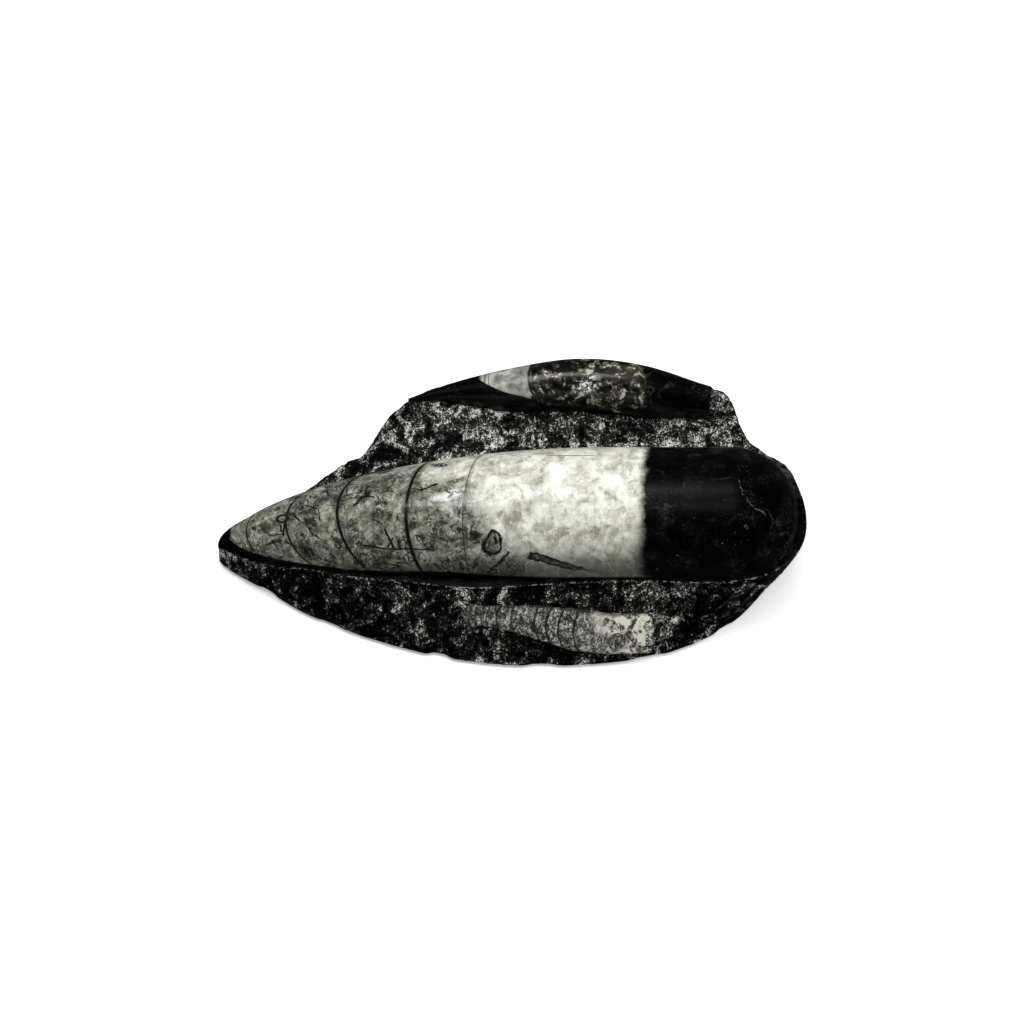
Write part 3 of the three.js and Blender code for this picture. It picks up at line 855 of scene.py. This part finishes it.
def main_cone_material():
    s = Shader("calcite_cone_polished")
    x, turn, radius = s.split("main_place")
    arc = across_facing(s, turn, radius, FACING)
    jitter = s.noise(3.2, seed=41) - 0.5
    fine_jitter = (s.noise(0.9, detail=3, seed=43) - 0.5) * 0.5
    large, facet, large_rim = crystals(s, 4.2, 2, 1)
    _, small_facet, _ = crystals(s, 1.9, 6, 0.9)

    creamy = x + arc * 0.9 + (s.noise(8, seed=47) - 0.5) * 24
    creamy = s.between(creamy, -15, 1)
    calcite = s.blend(creamy, grey_calcite(s), cream_calcite(s, facet, small_facet))
    # Painted shade: the cone's lower front side, turned away from the lamps above, is darkened towards its
    # foot.
    calcite = s.blend(s.between(arc, -3, -15.5) * 0.9, calcite, (0.045, 0.045, 0.037))
    broken = s.patches(2.8, 0.5, 0.62, detail=2, seed=49)
    calcite = s.blend(s.between(large_rim, 0.03, 0) * broken * 0.4, calcite, (0.62, 0.62, 0.56))
    # Painted highlights: pale ovals blended over the calcite, standing in for the lamps' reflections in the
    # polish.
    painted_highlight = 0
    for at, half, tilt, strength in PAINTED_HIGHLIGHTS:
        reach = oval(s, x, arc, at, half, tilt, jitter * 2.2)
        painted_highlight = s.largest(painted_highlight, s.between(reach, 1.3, 0.3) * strength)
    calcite = s.blend(painted_highlight, calcite, (0.86, 0.86, 0.82))

    grey_share = s.inverse(creamy * 0.93)
    veins = s.largest(dendrites(s, 5, 0.04, 0.9, 51), dendrites(s, 2.4, 0.055, 0.6, 57) * 0.9)
    blotch = s.patches(1.7, 0.54, 0.62, detail=5, roughness=0.7, warp=1.6, seed=63)
    blotch = blotch * s.patches(5, 0.48, 0.58, detail=2, seed=65)
    ink = s.largest(veins * 0.92, blotch * 0.85) * grey_share
    grain = s.patches(1.3, 0.36, 0.5, detail=5, roughness=0.7, warp=1.6, seed=61)
    for at, half, tilt, dark in SMUDGES:
        reach = oval(s, x, arc, at, half, tilt, jitter * 1.5)
        ink = s.largest(ink, s.between(reach, 1.35, 0.4) * grain * dark)
    for start, end, half_width in CRACKS:
        ink = s.largest(ink, stroke(s, x, arc, start, end, half_width, jitter * 0.9) * 0.99)
    shell_ink, shade = shell_marks(s, x, arc, jitter)
    ink = s.largest(ink, shell_ink)
    for at, peak, bow, half_width, dark in SEPTA:
        wobble = jitter * 0.35 + fine_jitter * 0.4
        ink = s.largest(ink, septum(s, x, turn, radius, at, peak, bow, half_width, wobble) * dark)
        halo = septum(s, x, turn, radius, at + 0.3, peak, bow, half_width * 3, wobble)
        shade = s.largest(shade, halo * (0.5 * dark))
    calcite = s.blend(shade, calcite, (0.07, 0.067, 0.054))
    calcite = s.blend(ink, calcite, SOOT)

    end_jitter = (small_facet - 0.5) * 0.5
    end_curve = (turn - math.radians(60)) * (turn - math.radians(60)) * 1.1
    to_end = x - 34.8 - end_curve + end_jitter + fine_jitter * 1.6
    calcite = s.blend(s.between(to_end, -5, 0) * s.between(arc, 2, -10), calcite, (0.03, 0.032, 0.032))
    is_calcite = s.between(to_end + jitter * 2.4, 0.7, -2)
    from_lift = (x + 20) * (1 / 14)
    lift = s.maths("EXPONENT", from_lift * from_lift * -1)
    foot = turn + (jitter + fine_jitter) * 0.035 - lift * 0.09
    is_calcite = is_calcite * s.between(foot, 0.05, 0.09)
    lowered = foot - s.between(x, -58, -68)
    is_calcite = is_calcite * s.between(lowered, math.pi + 0.16, math.pi + 0.12)
    black = black_polish(s)
    for start, end, half_width in PALE_MARKS:
        mark = stroke(s, x, arc, start, end, half_width, jitter * 2.2)
        black = s.blend(mark * s.patches(0.9, 0.45, 0.55, detail=3, seed=67) * 0.6, black, (0.11, 0.1, 0.085))
    colour = s.blend(is_calcite, black, calcite)
    normal = tilted(s, large, is_calcite * 0.22)
    return s.finish(colour, 0.3 + is_calcite * 0.05, normal=normal, coat=0.12 + is_calcite * 0.5,
                    coat_roughness=0.13, specular=0.2)


def shell_marks(s, x, arc, jitter):
    """The tube through the second chamber wall and two bits of crushed shell: their ink and their shade."""
    ring = oval(s, x, arc, (-61.5, 4), (1.45, 1.05), 0, jitter * 0.3)
    ink = line_mask(s, ring - 1, 0.3) * 0.98

    inner = s.patches(1.3, 0.42, 0.56, detail=5, roughness=0.7, warp=1.2, seed=71)
    leaf = oval(s, x, arc, (-5, -5.6), (3.4, 2.3), 76, jitter * 1.2)
    shade = s.between(leaf, 1.1, 0.8) * 0.5
    ink = s.largest(ink, s.between(leaf, 1.15, 0.7) * inner * 0.8)
    for start, end, half_width in LEAF_LINES:
        ink = s.largest(ink, stroke(s, x, arc, start, end, half_width * 1.15, jitter * 2.4) * 0.98)

    along, off = stretch(s, x, arc, (4.7, -9.6), (22.8, -16.2), jitter * 3.6)
    half = s.maths("MINIMUM", s.maths("MAXIMUM", 1 - along, 0) * 2, 1) * 1.35
    reach = s.maths("DIVIDE", abs(off), s.maths("MAXIMUM", half, 0.05))
    in_length = s.between(along + jitter * 0.08, -0.02, 0.01) * s.between(along, 1, 0.95)
    body = s.between(reach, 1.1, 0.95) * in_length
    rim = s.largest(s.between(reach, 0.42, 0.6), s.between(along, 0.06, 0.03))
    ink = s.largest(ink, s.largest(rim * 0.97, inner * 0.8) * body)
    return ink, s.largest(shade, body * 0.9)


SECOND_SEPTA = [(-7.4, 95, 0.6, 0.16, 0.8), (-6.4, 95, 0.6, 0.13, 0.7), (4.6, 84, 0.62, 0.4, 0.97)]
# How far forwards the second cone's calcite reaches, as x and degrees from the front.
SECOND_EDGE = [(-6.8, 78), (-3.3, 54), (2.7, 34), (6.8, 20), (9.8, 3)]


def second_cone_material():
    s = Shader("brown_calcite_polished")
    x, turn, radius = s.split("second_place")
    jitter = s.noise(3, seed=81) - 0.5
    edge_turn = s.node("FloatCurve")
    line = edge_turn.mapping.curves[0]
    for at, degrees in SECOND_EDGE:
        line.points.new((at + 12) / 60, (degrees + 20) / 180)
    line.points[0].location = (0, 1)
    line.points[-1].location = (1, 0.05)
    edge_turn.mapping.update()
    low = s.result(edge_turn, {"Value": (x + 12) * (1 / 60)})
    low = low * math.pi - math.radians(20)
    inside = s.between(turn - low + jitter * 0.12, -0.02, 0.04)
    inside = inside * s.between(x, -9.2, -8)
    inside = inside * s.between(x + jitter * 3, 37, 35.6)

    crystal_place = s.warped(1.2, 1.8, seed=83)
    crystal = s.parts(s.cells(1.9, output="Color", seed=4, place=crystal_place), "SeparateColor")[0]
    cloud = s.noise(4.2, detail=5, warp=0.6, seed=85)
    white = s.ramp(cloud, [(0.34, (0.07, 0.07, 0.066)), (0.5, (0.22, 0.22, 0.2)), (0.66, (0.45, 0.45, 0.41))])
    mottle = s.noise(2.4, detail=5, roughness=0.65, warp=1.1, seed=87) * 0.65 + crystal * 0.12
    mottle = mottle + s.noise(0.8, roughness=0.65, warp=1.2, seed=88) * 0.25
    brown = s.spread(mottle - 0.51, 0.01, 33, (1, 0.95, 0.76), most=0.45)
    glint_zone = s.between(oval(s, x, turn * radius, (20.3, 6.4), (4.4, 2.6), 35, jitter), 1.2, 0.4)
    glint = glint_zone * s.patches(1.3, 0.5, 0.6, warp=1.4, seed=89)
    brown = s.blend(glint * 0.9, brown, (0.78, 0.78, 0.74))
    light_zone = s.between(oval(s, x, turn * radius, (30.5, 11.5), (6, 3), 0, jitter), 1.2, 0.4)
    brown = s.blend(light_zone * 0.08, brown, (0.3, 0.27, 0.2))
    eye = oval(s, x, turn * radius, (14.4, 11), (2.6, 1.1), 0, jitter * 0.5)
    brown = s.blend(s.between(eye, 1.1, 0.85), brown, (0.004, 0.004, 0.004))
    calcite = s.blend(s.between(x + jitter * 1.2, 4.7, 5.6), white, brown)
    for at, peak, bow, half_width, dark in SECOND_SEPTA:
        wall = septum(s, x, turn, radius, at, peak, bow, half_width, jitter * 0.4)
        calcite = s.blend(wall * dark, calcite, (0.006, 0.006, 0.005))
    veins = dendrites(s, 4, 0.02, 0.5, 91)
    calcite = s.blend(veins * 0.6, calcite, SOOT)
    colour = s.blend(inside, black_polish(s), calcite)
    normal = s.bump(crystal * inside, 0.04)
    return s.finish(colour, 0.3 + inside * 0.05, normal=normal, coat=0.12 + inside * 0.4,
                    coat_roughness=0.13, specular=0.2)


def polished_material():
    s = Shader("black_limestone_polished")
    _, below, _ = s.split("dust")
    scuffs = s.patches((4, 0.5, 0.5), 0.56, 0.72, warp=0.5, seed=95) * 0.08
    colour = s.blend(scuffs, black_polish(s), (0.08, 0.085, 0.09))
    along, across, _ = s.parts(s.place)
    at_rim = s.between(along, 62, 68) * s.between(across, -4, 6)
    streaks = s.patches((2.5, 2.5, 0.4), 0.36, 0.62, warp=0.6, seed=99)
    colour = s.blend(at_rim * streaks * 0.5, colour, (0.075, 0.072, 0.062))
    x, turn, _ = s.split("main_place")
    behind_tip = s.between(x, -76.6, -75.6) * s.between(x, -62, -64) * s.between(turn, 2, 2.3)
    colour = s.blend(behind_tip, colour, grey_calcite(s))
    chips = s.between(below, 0.55, 0.1) * s.patches(1.2, 0.5, 0.6, warp=1, seed=97)
    colour = s.blend(chips * 0.7, colour, (0.3, 0.3, 0.28))
    return s.finish(colour, 0.3 + scuffs, coat=0.02, coat_roughness=0.15, specular=0.05)


def rough_material():
    s = Shader("black_limestone_chiselled")
    dust, below, _ = s.split("dust")
    place = s.warped(0.9, 1.6, seed=101)
    speck = s.noise(0.45, detail=3, roughness=0.6, warp=0.6, seed=103, place=place)
    coarse = s.noise(1.4, roughness=0.6, warp=1.5, seed=105)
    patch = s.noise(5.5, roughness=0.55, warp=1.2, seed=107)
    scratch = s.noise((0.5, 3, 3), roughness=0.6, warp=1.6, seed=109, place=s.warped(3, 5, seed=118))
    threads = s.noise(3, detail=5, roughness=0.58, warp=1.2, seed=110)
    threads = s.between(abs(threads - 0.5), 0.045, 0.004)
    threads = threads * s.patches(4.5, 0.44, 0.58, detail=2, seed=112)
    in_front = s.between(s.parts(s.place)[1], -12, -22)
    streaks = s.patches((1.1, 9, 9), 0.56, 0.68, roughness=0.6, warp=0.5, seed=113)
    streaks = streaks * in_front * s.patches(6, 0.42, 0.56, detail=3, seed=115)
    crease = s.between(below, 0.7, 0.1) * s.patches(3.2, 0.42, 0.56, detail=2, seed=111)
    powder = speck * 0.3 + coarse * 0.16 + (scratch * 0.2 + patch * 0.34)
    bright = s.largest(crease, threads) * 1.9 + streaks * 1.5
    level = (powder - 0.5) * 62 + (dust + bright)
    colour = s.spread(level, 0.0014, 1, (1, 1, 0.93), most=0.62)
    relief = speck * 0.5 + coarse * 0.8
    normal = s.bump(relief, 0.5, strength=0.9)
    return s.finish(colour, 0.6, normal=normal, specular=0.08)


SMALL_SEPTA = [
    (-10, 0.7), (-8.2, 0.8), (-6.8, 0.7), (-4.1, 0.9), (-0.3, 0.8), (2.6, 0.4), (5.9, 0.9), (9.1, 1),
    (12.3, 1), (16.3, 0.9), (21, 0.3),
]


def small_cone_material():
    s = Shader("grey_fossil_unpolished")
    x, across, radius = s.split("small_place")
    jitter = (s.noise(2.2, seed=121) - 0.5) * 1.6
    cloud = s.noise(2.4, detail=5, roughness=0.65, warp=0.8, seed=123)
    fibre = s.noise((0.5, 2, 2), roughness=0.7, warp=0.8, seed=125)
    speck = s.noise(0.5, detail=3, roughness=0.65, warp=0.8, seed=124)
    mottle = cloud * 0.34 + fibre * 0.26 + speck * 0.4
    base = s.spread(mottle - 0.5, 0.085, 28, (1, 0.99, 0.9), most=0.6)
    for at, dark in SMALL_SEPTA:
        bow = across * across * (radius * 0.3)
        wall = line_mask(s, x - at - bow + jitter * 0.5, 0.27)
        base = s.blend(wall * (0.95 * dark), base, (0.003, 0.003, 0.003))
    right = s.between(x + jitter * 3, 19, 28)
    pale = s.patches(3.6, 0.47, 0.58, detail=6, roughness=0.6, warp=1.4, seed=127)
    dark = s.patches(3.2, 0.5, 0.58, detail=6, roughness=0.6, warp=1.4, seed=129)
    base = s.blend(right * dark * 0.75, base, (0.02, 0.02, 0.017))
    base = s.blend(right * pale * 0.9, base, (0.74, 0.72, 0.62))
    rim = s.between(abs(across) + jitter * 0.22, 0.8, 1)
    base = s.blend(rim * 0.8, base, (0.012, 0.012, 0.012))
    normal = s.bump(cloud + fibre, 0.5, strength=0.8)
    return s.finish(base, 0.6, normal=normal, specular=0.3)


def sawn_material():
    s = Shader("limestone_sawn")
    cloud = s.noise(12, detail=5, seed=131)
    base = s.ramp(cloud, [(0.35, (0.03, 0.03, 0.031)), (0.65, (0.075, 0.075, 0.073))])
    marks = s.noise((0.5, 40, 40), detail=3, seed=133)
    base = s.blend(s.between(marks, 0.5, 0.65) * 0.35, base, (0.14, 0.14, 0.135))
    return s.finish(base, 0.55, normal=s.bump(marks, 0.12), specular=0.3)


# ---- The piece ----

def orthoceras_stone():
    pieces = [matrix_block(), main_cone(), second_cone(), small_cone()]
    makers = (polished_material, rough_material, main_cone_material)
    makers += (second_cone_material, small_cone_material, sawn_material)
    materials = [make() for make in makers]
    for piece in pieces:
        for material in materials:
            piece.data.materials.append(material)
    stone = pieces[0]
    join(stone, pieces[1:])
    mesh = stone.data
    store_cone_places(mesh)
    store_dust(mesh)
    points = mesh_points(mesh)
    low, high = (np.array(corner) / MM for corner in cad_box)
    middle = (low + high) / 2
    own_middle = (points.min(axis=0) + points.max(axis=0)) / 2
    shift = np.array([middle[0] - own_middle[0], middle[1] - own_middle[1], low[2] - points[:, 2].min()])
    mesh.vertices.foreach_set("co", ((points + shift) * MM).astype(np.float32).ravel())
    split_shading(mesh)
    mesh.update()
    stone.name = mesh.name = "fossil_stone"
    return stone


# ---- Stage ----

CAMERA_ELEVATION = 57
CAMERA_DISTANCE = 1.1496
CAMERA_AIM = Vector((0.00025, -0.00639, 0.018))


def camera():
    made = bpy.data.objects.new("camera", bpy.data.cameras.new("camera"))
    turn = math.radians(CAMERA_ELEVATION)
    back = Vector((0, -math.cos(turn), math.sin(turn)))
    made.location = CAMERA_AIM + back * CAMERA_DISTANCE
    made.rotation_euler = (-back).to_track_quat("-Z", "Y").to_euler()
    made.data.lens = 150
    made.data.clip_start, made.data.clip_end = 0.05, 20
    bpy.context.scene.collection.objects.link(made)
    bpy.context.scene.camera = made


def softbox(name, place, size, watts, seen_in_polish=True):
    """A soft lamp above the stone that faces its middle."""
    light = bpy.data.lights.new(name, "AREA")
    light.shape, light.size, light.size_y = "RECTANGLE", *size
    light.energy = watts
    made = bpy.data.objects.new(name, light)
    made.location = place
    made.visible_glossy = seen_in_polish
    made.rotation_euler = (Vector((0, 0, 0.02)) - Vector(place)).to_track_quat("-Z", "Y").to_euler()
    bpy.context.scene.collection.objects.link(made)


FLOOR_RADIUS, BACKDROP_RADIUS = 0.85, 4


def floor():
    """A pale disc, and a white backdrop all round it that only the camera sees."""
    place = (0, 0, -0.0002)
    bpy.ops.mesh.primitive_circle_add(vertices=128, radius=FLOOR_RADIUS, fill_type="NGON", location=place)
    disc = bpy.context.active_object
    disc.name = "floor"
    material = bpy.data.materials.new("pale_floor")
    material.use_nodes = True
    shader = material.node_tree.nodes["Principled BSDF"]
    shader.inputs["Base Color"].default_value = (0.93, 0.93, 0.93, 1)
    shader.inputs["Roughness"].default_value = 0.9
    shader.inputs["Emission Color"].default_value = (1, 1, 1, 1)
    shader.inputs["Emission Strength"].default_value = 0.3
    disc.data.materials.append(material)
    disc.visible_glossy = False

    bpy.ops.mesh.primitive_uv_sphere_add(segments=48, ring_count=24, radius=BACKDROP_RADIUS)
    dome = bpy.context.active_object
    dome.name = "backdrop"
    glow = bpy.data.materials.new("white_backdrop")
    glow.use_nodes = True
    glow.node_tree.nodes["Principled BSDF"].inputs["Emission Color"].default_value = (1, 1, 1, 1)
    glow.node_tree.nodes["Principled BSDF"].inputs["Emission Strength"].default_value = 1
    dome.data.materials.append(glow)
    dome.visible_diffuse = dome.visible_glossy = dome.visible_transmission = False
    dome.visible_volume_scatter = dome.visible_shadow = False


def studio():
    world = bpy.data.worlds.new("studio")
    world.use_nodes = True
    world.node_tree.nodes["Background"].inputs["Color"].default_value = (1, 1, 1, 1)
    world.node_tree.nodes["Background"].inputs["Strength"].default_value = 0.03
    scene = bpy.context.scene
    scene.world = world
    scene.view_settings.view_transform = "Standard"
    scene.view_settings.look = "None"
    softbox("overhead", (0.15, 0.36, 1.40), (2.2, 2), 29, seen_in_polish=False)
    softbox("side", (1.00, -0.10, 0.80), (0.9, 0.9), 6, seen_in_polish=False)
    softbox("key", (-0.17, 0.14, 0.80), (0.40, 0.30), 2)
    softbox("fill", (0.10, -0.80, 0.70), (1.2, 0.8), 1, seen_in_polish=False)
    softbox("glint", (0.092, -0.17, 0.78), (0.16, 0.16), 0.05)


stone = orthoceras_stone()
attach(stone, "root")
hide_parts(NODE)
camera()
floor()
studio()
